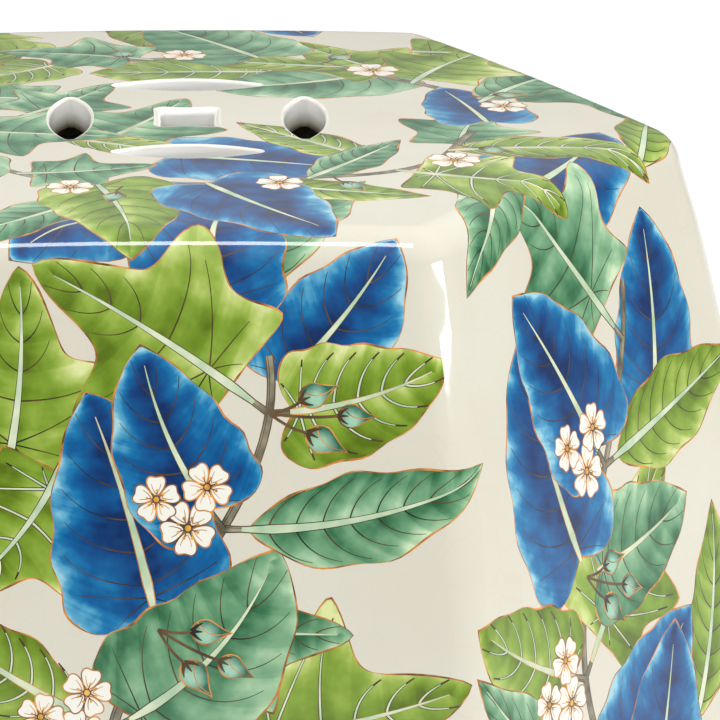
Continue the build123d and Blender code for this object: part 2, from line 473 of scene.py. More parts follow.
inks = {
    "cream": makeCream(),
    "cobalt": makeWash("cobalt"),
    "jade": makeWash("jade"),
    "lime": makeWash("lime"),
    "outline": makeInk("outline_ink", srgb(100, 60, 24), srgb(214, 142, 66), 150.0),
    "vein": makeInk("vein_ink", srgb(34, 32, 24), srgb(84, 62, 34), 110.0),
    "rib": makeInk("rib_wash", srgb(160, 186, 152), srgb(204, 212, 182), 90.0),
    "twig": makeInk("twig_wash", srgb(84, 80, 66), srgb(150, 144, 120), 140.0),
    "twigLine": makeInk("twig_ink", srgb(60, 46, 34), srgb(104, 80, 52), 120.0),
    "petal": makePetal("petal_white", srgb(214, 176, 122), srgb(226, 224, 212), 0.12, 0.55),
    "heart": makeInk("flower_heart", srgb(176, 116, 40), srgb(222, 172, 76), 300.0),
    "bud": makePetal("bud_green", srgb(34, 96, 76), srgb(150, 190, 164), 0.55, 1.15),
    "hole": makeHoleGlazeAndShade(),
    "clay": makeInk("bare_clay", srgb(206, 194, 170), srgb(226, 216, 196), 120.0),
}
inkNames = list(inks)
print("inks:", len(inks))


# Painting: flat shapes in the order they are brushed on, each in its own facet's or the seat's flat measure
brush = {
    "outline": 0.50,
    "vein": 0.30,
    "rib": 2.5,
    "ribLine": 0.34,        # dark edge of the midrib
    "wash": 60.0,           # size of the washes' patches
}


def unit(vector):
    return vector / max(np.linalg.norm(vector), 1e-9)


def turned(angle):
    return np.array([math.cos(angle), math.sin(angle)])


def leftOf(way):
    return np.array([-way[1], way[0]])


def bentFrame(base, angle, bend):
    # a leaf's own axes: a runs along its midrib, which bends evenly, and b across it
    base = np.array(base, float)
    way = turned(angle)
    side = leftOf(way)

    def toSheet(local):
        a, b = local[:, 0], local[:, 1]
        if abs(bend) < 1e-6:
            return base + a[:, None] * way + b[:, None] * side
        turn = a * bend
        radius = 1 / bend - b
        ahead = radius * np.sin(turn)
        aside = 1 / bend - radius * np.cos(turn)
        return base + ahead[:, None] * way + aside[:, None] * side

    def toLocal(points):
        ahead, aside = (points - base) @ way, (points - base) @ side
        if abs(bend) < 1e-6:
            return np.column_stack([ahead, aside])
        sign = math.copysign(1, bend)
        turn = np.arctan2(sign * ahead, sign * (1 / bend - aside))
        radius = sign * np.hypot(ahead, 1 / bend - aside)
        return np.column_stack([turn / bend, 1 / bend - radius])

    return toSheet, toLocal


def signedArea(loop):
    ahead = np.roll(loop, -1, axis=0)
    return np.sum(loop[:, 0] * ahead[:, 1] - ahead[:, 0] * loop[:, 1]) / 2


def inset(points, distance):
    # the outline moved inwards, with its sharp points held short
    before, after = np.roll(points, 1, axis=0), np.roll(points, -1, axis=0)
    run, rise = points - before, after - points
    run = run / np.maximum(np.linalg.norm(run, axis=1), 1e-9)[:, None]
    rise = rise / np.maximum(np.linalg.norm(rise, axis=1), 1e-9)[:, None]
    normal = np.column_stack([-(run[:, 1] + rise[:, 1]), run[:, 0] + rise[:, 0]])
    normal = normal * math.copysign(1, signedArea(points))
    size = np.maximum(np.linalg.norm(normal, axis=1), 0.5)
    return points + normal / (size * np.maximum(size / 2, 0.4))[:, None] * np.reshape(distance, (-1, 1))


def ribbon(path, widths):
    ahead = np.gradient(path, axis=0)
    ahead = ahead / np.maximum(np.linalg.norm(ahead, axis=1), 1e-9)[:, None]
    side = np.column_stack([-ahead[:, 1], ahead[:, 0]]) * (np.asarray(widths) / 2)[:, None]
    return np.concatenate([path + side, (path - side)[::-1]])


def curve(points, count):
    # quadratic through a start, a pull point and an end
    start, pull, end = [np.array(p, float) for p in points]
    t = np.linspace(0, 1, count)[:, None]
    return (1 - t) ** 2 * start + 2 * t * (1 - t) * pull + t ** 2 * end


# Leaf forms: half outlines in shares of the leaf's length, and how their veins run
def heartHalf():
    t = np.linspace(0, math.pi, 40)
    late = np.clip(t / math.pi * 2 - 1, 0, 1)
    a = (1 - np.cos(t)) / 2 - 0.17 * np.sin(t) * (1 + np.cos(t)) + 0.06 * late ** 5
    b = np.sin(t) * (1 + 0.24 * np.cos(t)) * (1 - 0.22 * late ** 2)
    return a, b


def willowHalf():
    t = np.linspace(0, 1, 30)
    return t, np.sin(math.pi * t ** 0.82) ** 0.92


def lobedHalf():
    t = np.linspace(0, 1, 60)
    angle = math.pi * (1 - t)
    reach = 0.27 + 0 * t
    for lobe, size, breadth in ((0.0, 0.40, 0.34), (1.18, 0.26, 0.30), (2.25, 0.16, 0.32)):
        reach = reach + size * np.exp(-np.abs(angle - lobe) ** 1.4 / breadth ** 1.4)
    return 0.36 + reach * np.cos(angle), reach * np.sin(angle) / 0.46


leafForms = {
    "heart": {"half": heartHalf, "waver": 0.035, "fan": (1.35, 2.1), "knot": 0.04,
              "pairs": 5, "first": 0.10, "last": 0.74, "sweep": 0.24},
    "willow": {"half": willowHalf, "waver": 0.06, "fan": (), "knot": 0.0,
               "pairs": 8, "first": 0.08, "last": 0.82, "sweep": 0.16},
    "lobed": {"half": lobedHalf, "waver": 0.02, "fan": (0.95, 1.62, 2.35), "knot": 0.20,
              "pairs": 4, "first": 0.40, "last": 0.80, "sweep": 0.15},
}


def leafOutline(form, length, width, seed):
    # the two halves differ a little, and their margins waver
    a, b = leafForms[form]["half"]()
    halves = []
    for side in (1, -1):
        waver = 1 + 0.12 * side * (seed - 0.5) + leafForms[form]["waver"] * np.sin(21 * a + 9 * seed + side)
        halves.append(np.column_stack([a * length, side * b * waver * width / 2]))
    return np.concatenate([halves[0], halves[1][::-1][1:-1]])


def leafVeins(form, length, outline):
    # side veins up the midrib, and a fan from the base on the broad leaves
    rule = leafForms[form]
    edge = outline[:len(rule["half"]()[0])]
    veins = []
    late = edge[np.argmax(edge[:, 1]):]
    for start in np.linspace(rule["first"], rule["last"], rule["pairs"]):
        end = start + rule["sweep"]
        reach = 0.84 * np.interp(end * length, late[:, 0], late[:, 1])
        if end * length < late[0, 0]:
            reach = 0.84 * late[0, 1] * min(1.0, 0.75 + 0.25 * end * length / late[0, 0])
        pull = [(start + 0.22 * rule["sweep"]) * length, 0.74 * reach]
        veins.append(([start * length, 0], pull, [end * length, reach]))
    knot = np.array([rule["knot"] * length, 0])
    heading = np.arctan2(edge[:, 1], edge[:, 0] - knot[0])
    for way in rule["fan"]:
        tip = 0.84 * (edge[np.argmin(np.abs(heading - way))] - knot)
        veins.append((knot, knot + tip * [0.46, 0.62], knot + tip))
    return [np.array(v, float) for v in veins]


def washPhase(form, local, length, width):
    # which field between two side veins a point lies in
    rule = leafForms[form]
    spacing = (rule["last"] - rule["first"]) / (rule["pairs"] - 1)
    out = np.abs(local[:, 1]) / (width / 2)
    return (local[:, 0] / length - rule["first"] - rule["sweep"] * (0.3 * out + 0.7 * out ** 2)) / spacing


def addShape(shapes, points, ink, local=None):
    shapes.append({"points": np.asarray(points, float), "ink": ink, "local": local})


def paintLeaf(shapes, form, wash, base, angle, length, width, bend=0.0, seed=0.0):
    toSheet, toLocal = bentFrame(base, math.radians(angle), bend / length)
    outline = leafOutline(form, length, width, seed)
    stroke = np.arange(len(outline))
    press = 0.85 + 0.55 * np.sin(0.55 * stroke + 20 * seed) * np.sin(0.17 * stroke + 9 * seed)
    whole = toSheet(inset(outline, brush["outline"] * press))

    def local(points):
        at = toLocal(points)
        rim = nearestOnLoop(points, whole)[1]
        share = np.abs(at[:, 1]) / (np.abs(at[:, 1]) + rim + 0.01)
        if wash != "cobalt":
            # one half pales to its rib
            share = np.where(at[:, 1] * (seed - 0.5) > 0, share, 0.8 - 0.6 * share)
        across, up = at[:, 0] / brush["wash"] + 30 * seed, at[:, 1] / brush["wash"] + 50 * seed
        return washPhase(form, at, length, width) + 20, share, across, up

    addShape(shapes, toSheet(outline), "outline")
    addShape(shapes, whole, wash, local)
    for vein in leafVeins(form, length, outline):
        for side in (1, -1):
            path = curve(vein * [1, side], 12)
            widths = np.linspace(brush["vein"] * 1.6, brush["vein"] * 0.6, 12)
            if wash == "lime" and seed > 0.5:
                addShape(shapes, toSheet(ribbon(path, widths * 2.6)), "vein")
                addShape(shapes, toSheet(ribbon(path[:-2], widths[:-2] * 1.3)), "rib")
            else:
                addShape(shapes, toSheet(ribbon(path, widths)), "vein")
    reach = np.linspace(-0.02 * length, 0.93 * length, 24)
    spine = np.column_stack([reach, 0 * reach])
    thick = brush["rib"] * min(1.0, length / 60)
    widths = np.interp(reach / length, [-0.02, 0.1, 0.93], [1.3, thick, 0.2])
    edges = widths + np.linspace(2 * brush["ribLine"], 0.1, 24)
    addShape(shapes, toSheet(ribbon(spine, edges)), "vein" if seed < 0.6 else "outline")
    addShape(shapes, toSheet(ribbon(spine, widths)), "rib")


def paintFlower(shapes, middle, radius, turn, petals=5):
    middle = np.array(middle, float)

    def local(points):
        gap = np.linalg.norm(points - middle, axis=1) / radius
        return gap, 0 * gap, points[:, 0] / brush["wash"], points[:, 1] / brush["wash"]

    for petal in range(petals):
        angle = turn + petal * math.tau / petals
        way = turned(angle)
        side = leftOf(way)
        t = np.linspace(0, math.tau, 30, endpoint=False)
        notch = 0.10 * np.exp(-((t - math.pi) / 0.35) ** 2)
        ahead = 0.56 - 0.44 * np.cos(t) - notch
        aside = 0.46 * np.sin(t) * (0.82 - 0.30 * np.cos(t))
        outline = middle + radius * (ahead[:, None] * way + aside[:, None] * side)
        addShape(shapes, outline, "outline")
        addShape(shapes, inset(outline, brush["outline"] * 0.8), "petal", local)
        for lean in (-0.16, 0.16):
            crease = [(0.22, 0.04), (0.42, 1.0), (0.62, 1.2)]
            crease = np.array([far * way + share * lean * side for far, share in crease])
            path = curve(middle + radius * crease, 8)
            addShape(shapes, ribbon(path, np.linspace(0.30, 0.16, 8)), "outline")
    for stamen in range(8):
        angle = turn + 0.35 + stamen * math.tau / 8
        way = turned(angle)
        path = np.linspace(middle + 0.1 * radius * way, middle + 0.33 * radius * way, 4)
        addShape(shapes, ribbon(path, np.full(4, 0.28)), "vein")
        addShape(shapes, disc(middle + 0.36 * radius * way, 0.055 * radius, 10), "heart")
    addShape(shapes, disc(middle, 0.15 * radius, 14), "vein")
    addShape(shapes, disc(middle, 0.11 * radius, 14), "heart")


def disc(middle, radius, count):
    t = np.linspace(0, math.tau, count, endpoint=False)
    return np.asarray(middle) + radius * np.column_stack([np.cos(t), np.sin(t)])


def paintBud(shapes, middle, radius, stalk):
    middle = np.array(middle, float)
    way = unit(np.array(stalk, float) - middle)
    side = leftOf(way)
    path = curve([stalk, (middle + stalk) / 2 + 0.3 * radius * side, middle + 0.9 * radius * way], 10)
    addShape(shapes, ribbon(path, np.full(10, 0.9)), "twigLine")

    def local(points):
        gap = np.linalg.norm(points - middle - 0.25 * radius * side, axis=1) / (1.6 * radius)
        return 1 - gap, 0 * gap, points[:, 0] / brush["wash"], points[:, 1] / brush["wash"]

    t = np.linspace(0, math.tau, 30, endpoint=False)
    point = np.clip(np.cos(t), 0, 1) ** 2   # the far half draws out to a tip
    along, across = np.cos(t) * (1 + 0.7 * point), 0.84 * np.sin(t) * (1 - 0.82 * point)
    outline = middle + radius * (across[:, None] * side - along[:, None] * way)
    addShape(shapes, outline, "outline")
    addShape(shapes, middle + 0.9 * (outline - middle), "bud", local)
    fold = radius * np.array([0.6 * way - 0.6 * side, 0.5 * side, -1.4 * way])
    addShape(shapes, ribbon(curve(middle + fold, 8), np.linspace(0.34, 0.2, 8)), "outline")
    for lean in (-0.55, 0.0, 0.55):
        sepal = radius * np.array([0.95 * way, 0.6 * way + 0.8 * lean * side, 0.25 * way + lean * side])
        widths = np.linspace(0.30 * radius, 0.06 * radius, 8)
        addShape(shapes, ribbon(curve(middle + sepal, 8), widths), "vein")


def paintTwig(shapes, path, first, last):
    widths = np.linspace(first, last, len(path))
    addShape(shapes, ribbon(path, widths + 0.7), "twigLine")
    addShape(shapes, ribbon(path, widths), "twig")
    offset = ribbon(path, widths * 0.5)[: len(path)]
    addShape(shapes, ribbon(offset, np.full(len(path), 0.22)), "twigLine")


# Layout: each facet has a climbing spray with leaves on both sides of its stem, and more leaves behind them
spray = {
    "seed": 40,
    "bottom": 20.0,         # start of the stem above the base joint
    "top": -4.0,            # end of the stem above the seat joint
    "swing": 24.0,          # how far the stem sways
    "wave": 230.0,          # length of one sway
    "step": 30.0,           # between leaves along the stem
    "cover": (0.74, 0.60, 0.66, 0.72, 0.64, 0.64),
    "overhang": 58.0,       # how far leaves may climb past the seat joint
    "kinds": [("heart", "cobalt", 66, 52), ("willow", "jade", 80, 29), ("lobed", "lime", 68, 62),
              ("heart", "cobalt", 62, 46), ("willow", "lime", 76, 30), ("lobed", "jade", 64, 58),
              ("heart", "cobalt", 62, 48), ("heart", "lime", 60, 46), ("heart", "jade", 60, 45)],
    # two leaves at each knot: side, place in the list of kinds, angles to the stem, sizes
    "pair": ((1, 0, (40, 66), (0.9, 1.1)), (-1, 5, (48, 84), (0.72, 0.9))),
    "stem": (4.2, 1.8),
    "stalk": (1.7, 1.2),
    # angle, distance and radius of each blossom or bud of a cluster
    "blossoms": ((0.5, 10, 8.6), (-0.7, 13, 7.8), (0.1, 21, 7.4)),
    "buds": ((0.5, 14, 4.6), (-0.35, 17, 5.0), (0.08, 24, 4.3)),
}
filling = {
    "tries": 700,
    "size": (0.75, 1.1),
    "bend": 0.6,
    "fresh": 0.55,          # least share of a leaf that covers bare ground
    "ground": 0.75,         # least share that stays on the sheet
}
cell = 3.0                  # of the grid that measures the covered ground


def gridOf(columns, rows):
    return np.array([(x, y) for x in columns for y in rows])


def leafOnSheet(leaf):
    form, wash, base, angle, length, width, bend, seed = leaf
    return bentFrame(base, math.radians(angle), bend / length)[0](leafOutline(form, length, width, seed))


def within(cells, outline):
    inside = np.zeros(len(cells), bool)
    for start, end in zip(outline, np.roll(outline, -1, axis=0)):
        if start[1] != end[1]:
            level = (cells[:, 1] < start[1]) != (cells[:, 1] < end[1])
            meets = start[0] + (cells[:, 1] - start[1]) * (end[0] - start[0]) / (end[1] - start[1])
            inside ^= level & (cells[:, 0] < meets)
    return inside


def fillBehind(dice, leaves, cells, kinds, cover, fits):
    # more leaves, tucked behind those already laid out, until enough of the ground is covered
    covered = np.zeros(len(cells), bool)
    for leaf in leaves:
        covered |= within(cells, leafOnSheet(leaf))
    behind = []
    for attempt in range(filling["tries"]):
        if covered.mean() > cover:
            break
        spots = np.nonzero(covered)[0]
        base = cells[spots[dice.randrange(len(spots))]]
        form, wash, length, width = kinds[dice.randrange(len(kinds))]
        size = dice.uniform(*filling["size"])
        angle, bend = dice.uniform(0, 360), dice.uniform(-filling["bend"], filling["bend"])
        leaf = (form, wash, base, angle, length * size, width * size, bend, dice.random())
        outline = leafOnSheet(leaf)
        mine = within(cells, outline)
        fresh = np.sum(mine & ~covered)
        onGround = mine.sum() * cell ** 2 > filling["ground"] * abs(signedArea(outline))
        if fits(outline) and fresh > filling["fresh"] * mine.sum() and onGround:
            covered |= mine
            behind.append(leaf)
    return behind[::-1]


def paintSpray(number, lowW, highW):
    dice = random.Random(spray["seed"] + number)
    facet = facets[number]
    left, right = [float(v) for v in wallReach(facet, heightAt(highW))]
    straight = float(flatPart(facet, stool["seatJoint"], 0.0, stool["corner"])[2]) - 3
    shapes, leaves, blooms = [], [], []
    phase = dice.uniform(0, math.tau)
    rise = np.linspace(lowW + spray["bottom"], highW + spray["top"], 90)
    sway = spray["swing"] * np.sin(rise / spray["wave"] * math.tau + phase)
    path = np.column_stack([sway, rise])

    def fits(outline):
        # leaves cross the seat joint only clear of the corners
        upper = outline[outline[:, 1] > highW - 2]
        return outline[:, 1].min() > lowW + 8 and (not len(upper) or np.abs(upper[:, 0]).max() < straight)

    count = int((rise[-1] - rise[0]) / spray["step"])
    for node in range(count):
        place = int((node + 0.6) / count * (len(path) - 2))
        at = path[place]
        ahead = path[place + 1] - path[place]
        heading = math.atan2(ahead[1], ahead[0])
        side = 1 if node % 2 else -1
        for hand, shift, angles, sizes in spray["pair"]:
            turn = hand * side
            form, wash, length, width = spray["kinds"][(node + 3 * number + shift) % len(spray["kinds"])]
            size = dice.uniform(*sizes)
            angle = math.degrees(heading) + turn * dice.uniform(*angles)
            base = at + 7 * turned(math.radians(angle))
            bend = turn * dice.uniform(-0.7, 0.2)
            leaf = (form, wash, base, angle, length * size, width * size, bend, dice.random())
            if fits(leafOnSheet(leaf)):
                leaves.append(leaf)
                blooms.append((at, heading, side, base))
    cells = gridOf(np.arange(-left, right, cell), np.arange(lowW + 10, highW + spray["overhang"], cell))
    for leaf in fillBehind(dice, leaves, cells, spray["kinds"], spray["cover"][number], fits):
        paintLeaf(shapes, *leaf)
    paintTwig(shapes, path, *spray["stem"])
    for at, heading, side, base in blooms:
        paintTwig(shapes, np.linspace(at, base, 5), *spray["stalk"])
    dice.shuffle(leaves)
    for leaf in leaves:
        paintLeaf(shapes, *leaf)
    for node, (at, heading, side, base) in enumerate(blooms):
        away = heading - side * math.pi / 2
        if node % 5 == 1:
            for turn, reach, radius in spray["blossoms"]:
                paintFlower(shapes, at + reach * turned(away + turn), radius, dice.uniform(0, 1))
        elif node % 5 == 3:
            for turn, reach, radius in spray["buds"]:
                paintBud(shapes, at + reach * turned(away + turn), radius, at)
    return shapes


# The seat has a wreath round its piercing, with leaves behind it that reach inwards and over the shoulder
wreath = {
    "seed": 7,
    "wide": 88.0,
    "deep": 72.0,
    "leaves": 18,
    "blossoms": 9,
    "cover": 0.63,
    "overhang": 16.0,       # how far leaves behind it may go past the seat's edge line
    "stem": (2.6, 2.0),
    "kinds": [("heart", "cobalt", 52, 42), ("willow", "jade", 64, 23), ("lobed", "lime", 54, 48),
              ("willow", "lime", 62, 22), ("heart", "jade", 48, 38), ("lobed", "jade", 52, 46),
              ("heart", "lime", 46, 38)],
}


def paintWreath():
    dice = random.Random(wreath["seed"])
    shapes, leaves = [], []
    t = np.linspace(0, math.tau, 160)
    ring = np.column_stack([wreath["wide"] * np.cos(t), wreath["deep"] * np.sin(t)])
    ring = ring * (1 + 0.04 * np.sin(6 * t))[:, None]
    last = len(ring) - 4    # the stem stops short of its own start
    for leaf in range(wreath["leaves"]):
        place = int(leaf / wreath["leaves"] * last)
        ahead = ring[place + 1] - ring[place]
        heading = math.degrees(math.atan2(ahead[1], ahead[0]))
        form, wash, length, width = wreath["kinds"][leaf % len(wreath["kinds"])]
        lean = dice.uniform(-72, -38) if leaf % 3 else dice.uniform(24, 44)
        size = dice.uniform(0.9, 1.12) * (1.0 if leaf % 3 else 0.8)
        bend = dice.uniform(-0.4, 0.4)
        angle = heading + lean
        leaves.append((form, wash, ring[place], angle, length * size, width * size, bend, dice.random()))
    cells = gridOf(np.arange(-160, 160, cell), np.arange(-135, 135, cell))
    cells = cells[outsideSeat(cells)[0] < wreath["overhang"]]
    for leaf in fillBehind(dice, leaves, cells, wreath["kinds"], wreath["cover"], lambda outline: True):
        paintLeaf(shapes, *leaf)
    paintTwig(shapes, ring[:last], *wreath["stem"])
    for leaf in leaves:
        paintLeaf(shapes, *leaf)
    for bloom in range(wreath["blossoms"]):
        at = ring[int((bloom + 0.35) / wreath["blossoms"] * last)]
        paintFlower(shapes, at * 1.05, dice.uniform(7.0, 8.5), dice.uniform(0, 1))
        near = ring[int((bloom + 0.62) / wreath["blossoms"] * last)]
        paintBud(shapes, near * 1.13, 4.2, near)
    return shapes


# Meshes
def wound(loop):
    # the outline started at its leftmost point and run anticlockwise, so that its inside is on its left
    loop = np.roll(loop, -int(np.argmin(loop[:, 0])), axis=0)
    loop = loop[np.linalg.norm(loop - np.roll(loop, 1, axis=0), axis=1) > 1e-3]
    ahead, back = loop[1] - loop[0], loop[-1] - loop[0]
    if ahead[0] * back[1] - ahead[1] * back[0] < 0:
        loop = np.concatenate([loop[:1], loop[:0:-1]])
    return loop


def paintedSheet(outline, holes, spots, shapes):
    # triangles of the flat outline, cut along every painted edge, each with the ink on top of it
    verts, polygons = [], []
    for loop in [outline] + holes + [shape["points"] for shape in shapes]:
        loop = wound(loop)
        polygons.append(list(range(len(verts), len(verts) + len(loop))))
        verts.extend(Vector(point) for point in loop)
    verts.extend(Vector(point) for point in spots)
    found = delaunay_2d_cdt(verts, [], polygons, 1, grain["weld"], True)
    points = np.array([tuple(v) for v in found[0]])
    first = 1 + len(holes)
    faces, tops = [], []
    for face, owners in zip(found[2], found[5]):
        if 0 in owners and not any(0 < owner < first for owner in owners):
            top = max(owners)
            faces.append(face)
            tops.append(top - first if top >= first else -1)
    used = np.unique(np.array(faces))
    order = np.full(len(points), -1)
    order[used] = np.arange(len(used))
    return points[used], order[np.array(faces)], np.array(tops)


def boundaryLoops(faces):
    edges = np.concatenate([faces[:, [0, 1]], faces[:, [1, 2]], faces[:, [2, 0]]])
    keys = np.sort(edges, axis=1)
    where, counts = np.unique(keys, axis=0, return_inverse=True, return_counts=True)[1:]
    single = edges[counts[where.ravel()] == 1]
    follow = {int(start): int(end) for start, end in single}
    loops = []
    while follow:
        start, here = follow.popitem()
        loop = [start]
        while here != start:
            loop.append(here)
            here = follow.pop(here)
        loops.append(np.array(loop))
    return loops


def washMaps(points, faces, tops, shapes):
    # the two flat maps that the washes read, filled shape by shape
    wash = np.zeros((len(faces) * 3, 2))
    strokes = np.zeros((len(faces) * 3, 2))
    corners = faces.reshape(-1)
    owner = np.repeat(tops, 3)
    for number in np.unique(tops):
        if number >= 0 and shapes[number]["local"]:
            mine = np.nonzero(owner == number)[0]
            phase, rim, along, across = shapes[number]["local"](points[corners[mine]])
            wash[mine] = np.column_stack([phase, rim])
            strokes[mine] = np.column_stack([along, across])
    return wash, strokes


def buildPiece(name, node, verts, faces, slots, normals, maps):
    # faces: lists of corners; slots: an ink name for each; normals: one for each corner
    mesh = bpy.data.meshes.new(name)
    mesh.from_pydata((verts * mm).tolist(), [], faces)
    used = sorted(set(slots), key=inkNames.index)
    for ink in used:
        mesh.materials.append(inks[ink])
    index = {ink: place for place, ink in enumerate(used)}
    mesh.polygons.foreach_set("material_index", [index[ink] for ink in slots])
    mesh.polygons.foreach_set("use_smooth", [True] * len(faces))
    for label, values in maps.items():
        layer = mesh.uv_layers.new(name=label)
        layer.data.foreach_set("uv", values.ravel())
    mesh.update()
    mesh.normals_split_custom_set(normals)
    piece = bpy.data.objects.new(name, mesh)
    bpy.context.scene.collection.objects.link(piece)
    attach(piece, "root")
    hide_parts(node)
    return piece


def flatNormal(verts, face):
    a, b, c = verts[face[0]], verts[face[1]], verts[face[-1]]
    normal = np.cross(b - a, c - a)
    return tuple(normal / max(np.linalg.norm(normal), 1e-12))


class Shell:
    # gathers the painted outer skin and the plain faces that close it into one solid
    def __init__(self):
        self.verts, self.faces, self.slots, self.normals = [], [], [], []
        self.count = 0
        self.wash, self.strokes, self.flat = [], [], []

    def addVerts(self, verts):
        start = self.count
        self.verts.append(verts)
        self.count += len(verts)
        return start

    def addSkin(self, verts, faces, slots, normals, flat, wash=None, strokes=None):
        start = self.addVerts(verts)
        self.faces.extend((faces + start).tolist())
        self.slots.extend(slots)
        self.normals.extend(map(tuple, normals[faces.ravel()]))
        blank = np.zeros((faces.size, 2))
        self.wash.append(blank if wash is None else wash)
        self.strokes.append(blank if strokes is None else strokes)
        self.flat.append(flat[faces.ravel()])
        return start

    def addFace(self, face, ink, flat, normals=None):
        # a plain face, shaded flat where it brings no normals
        self.faces.append(face)
        self.slots.append(ink)
        self.flat.append(flat)
        self.normals.extend(normals or [None] * len(face))
        self.wash.append(np.zeros((len(face), 2)))
        self.strokes.append(np.zeros((len(face), 2)))

    def addStrip(self, upper, lower, ink, band, smooth=None):
        # quads between two closed rows of the same length, and the band of the flat map that they take
        u0, v0, u1, v1 = band
        for here in range(len(upper)):
            after = (here + 1) % len(upper)
            first, last = u0 + (u1 - u0) * here / len(upper), u0 + (u1 - u0) * (here + 1) / len(upper)
            flat = np.array([(first, v1), (first, v0), (last, v0), (last, v1)])
            face = [int(upper[here]), int(lower[here]), int(lower[after]), int(upper[after])]
            self.addFace(face, ink, flat, [smooth[corner] for corner in face] if smooth else None)

    def finish(self, name, node):
        verts = np.concatenate(self.verts)
        normals, place = [], 0
        for face in self.faces:
            mine = self.normals[place:place + len(face)]
            normals.extend(flatNormal(verts, face) if normal is None else normal for normal in mine)
            place += len(face)
        maps = {"wash": self.wash, "brush": self.strokes, "OFBake": self.flat}
        maps = {label: np.concatenate(values) for label, values in maps.items()}
        return buildPiece(name, node, verts, self.faces, self.slots, normals, maps)


grain = {"along": 5.0, "corner": 0.9, "up": 5.0, "level": 4.5, "inside": 18.0, "weld": 0.005,
         "skirt": 3.5, "joint": 2.0, "seatTurn": 12}

# Places in a piece's flat map: most of it for the painted skin, and the rest for plain faces
room = {"paint": (0.0, 0.0, 0.86, 1.0), "inside": (0.87, 0.0, 1.0, 0.84), "edge": (0.87, 0.86, 1.0, 0.90),
        "under": (0.87, 0.91, 1.0, 0.94), "lip": (0.87, 0.96, 1.0, 0.99)}


def fitted(points, box):
    low, high = points.min(axis=0), points.max(axis=0)
    start, end = np.array(box[:2]), np.array(box[2:])
    return start + (points - low) / (high - low) * (end - start)


def cornerSteps(facet, z):
    # places along a level line: wide apart on the flat, close together round the corners
    half = float(flatPart(facet, z, 0.0, stool["corner"])[2])
    left, right = [float(v) for v in wallReach(facet, z)]
    flat = np.linspace(-half, half, int(2 * half / grain["along"]))
    leftArc = np.linspace(-left, -half, int((left - half) / grain["corner"]) + 1)[:-1]
    rightArc = np.linspace(half, right, int((right - half) / grain["corner"]) + 1)[1:]
    return np.concatenate([leftArc, flat, rightArc])


def wallOutline(facet, lowW, highW):
    rise = np.linspace(lowW, highW, int((highW - lowW) / grain["up"]))
    left, right = wallReach(facet, heightAt(rise))
    bottom = cornerSteps(facet, heightAt(lowW))
    top = cornerSteps(facet, heightAt(highW))
    parts = [np.column_stack([bottom, 0 * bottom + lowW])]
    parts.append(np.column_stack([right, rise])[1:-1])
    parts.append(np.column_stack([top, 0 * top + highW])[::-1])
    parts.append(np.column_stack([-left, rise])[::-1][1:-1])
    return np.concatenate(parts)


def wallSpots(facet, lowW, highW):
    rows = []
    for w in np.arange(lowW + grain["up"] / 2, highW - 1, grain["up"]):
        steps = cornerSteps(facet, heightAt(w))[1:-1]
        rows.append(np.column_stack([steps, 0 * steps + w]))
    return np.concatenate(rows)


def borrowed(shapes, shift):
    # shapes of the facet next door, moved into this facet's measure
    moved = []
    for shape in shapes:
        points = shape["points"].copy()
        points[:, 0] += shift(points[:, 1])
        local = shape["local"]
        if local:
            local = lambda at, home=local: home(np.column_stack([at[:, 0] - shift(at[:, 1]), at[:, 1]]))
        moved.append({"points": points, "ink": shape["ink"], "local": local})
    return moved


def reaching(shapes, lowX, highX):
    return [s for s in shapes if s["points"][:, 0].max() > lowX and s["points"][:, 0].min() < highX]


def paintedShell(place, points, faces, tops, shapes):
    # a new shell with its painted skin, every point put in place
    wash, strokes = washMaps(points, faces, tops, shapes)
    slots = [shapes[top]["ink"] if top >= 0 else "cream" for top in tops]
    normals, flat = surfaceNormals(place, points), fitted(points, room["paint"])
    shell = Shell()
    shell.addSkin(place(points), faces, slots, normals, flat, wash, strokes)
    return shell


def wallPiece(number, sprays, lowW, highW):
    facet = facets[number]
    after, before = facets[(number + 1) % 6], facets[number - 1]

    def fromRight(w):
        z = heightAt(w)
        return wallReach(facet, z)[1] + wallReach(after, z)[0]

    def fromLeft(w):
        z = heightAt(w)
        return -wallReach(facet, z)[0] - wallReach(before, z)[1]

    left, right = wallReach(facet, heightAt(0.0))
    shapes = borrowed(sprays[(number + 1) % 6], fromRight) + borrowed(sprays[number - 1], fromLeft)
    shapes = reaching(shapes, -left - 1, right + 1) + sprays[number]
    outline, spots = wallOutline(facet, lowW, highW), wallSpots(facet, lowW, highW)
    points, faces, tops = paintedSheet(outline, [], spots, shapes)

    def place(at):
        return wallPoint(facet, at[:, 0], heightAt(at[:, 1]))

    shell = paintedShell(place, points, faces, tops, shapes)
    loop = max(boundaryLoops(faces), key=len)
    closeWall(shell, facet, points, loop)
    return shell.finish(f"painted_wall_{number + 1}", f"wall_panel_{number + 1}")


def closeWall(shell, facet, points, loop):
    # inner face and the edges that meet the neighbours
    rim = points[loop]
    low, high = rim.min(axis=0), rim.max(axis=0)
    step = grain["inside"]
    spots = gridOf(np.arange(low[0] + 12, high[0] - 8, step), np.arange(low[1] + 9, high[1] - 5, step))
    inner, faces = paintedSheet(rim, [], spots, [])[:2]

    def place(at):
        return insideWall(facet, at[:, 0], heightAt(at[:, 1]))

    slots = ["clay"] * len(faces)
    normals = -surfaceNormals(place, inner)
    start = shell.addSkin(place(inner), faces[:, ::-1], slots, normals, fitted(inner, room["inside"]))
    match = matchPoints(rim, inner)
    shell.addStrip(loop, match + start, "clay", room["edge"])


def matchPoints(wanted, points):
    gap = np.sum((wanted[:, None, :] - points[None, :, :]) ** 2, axis=2)
    return np.argmin(gap, axis=1)


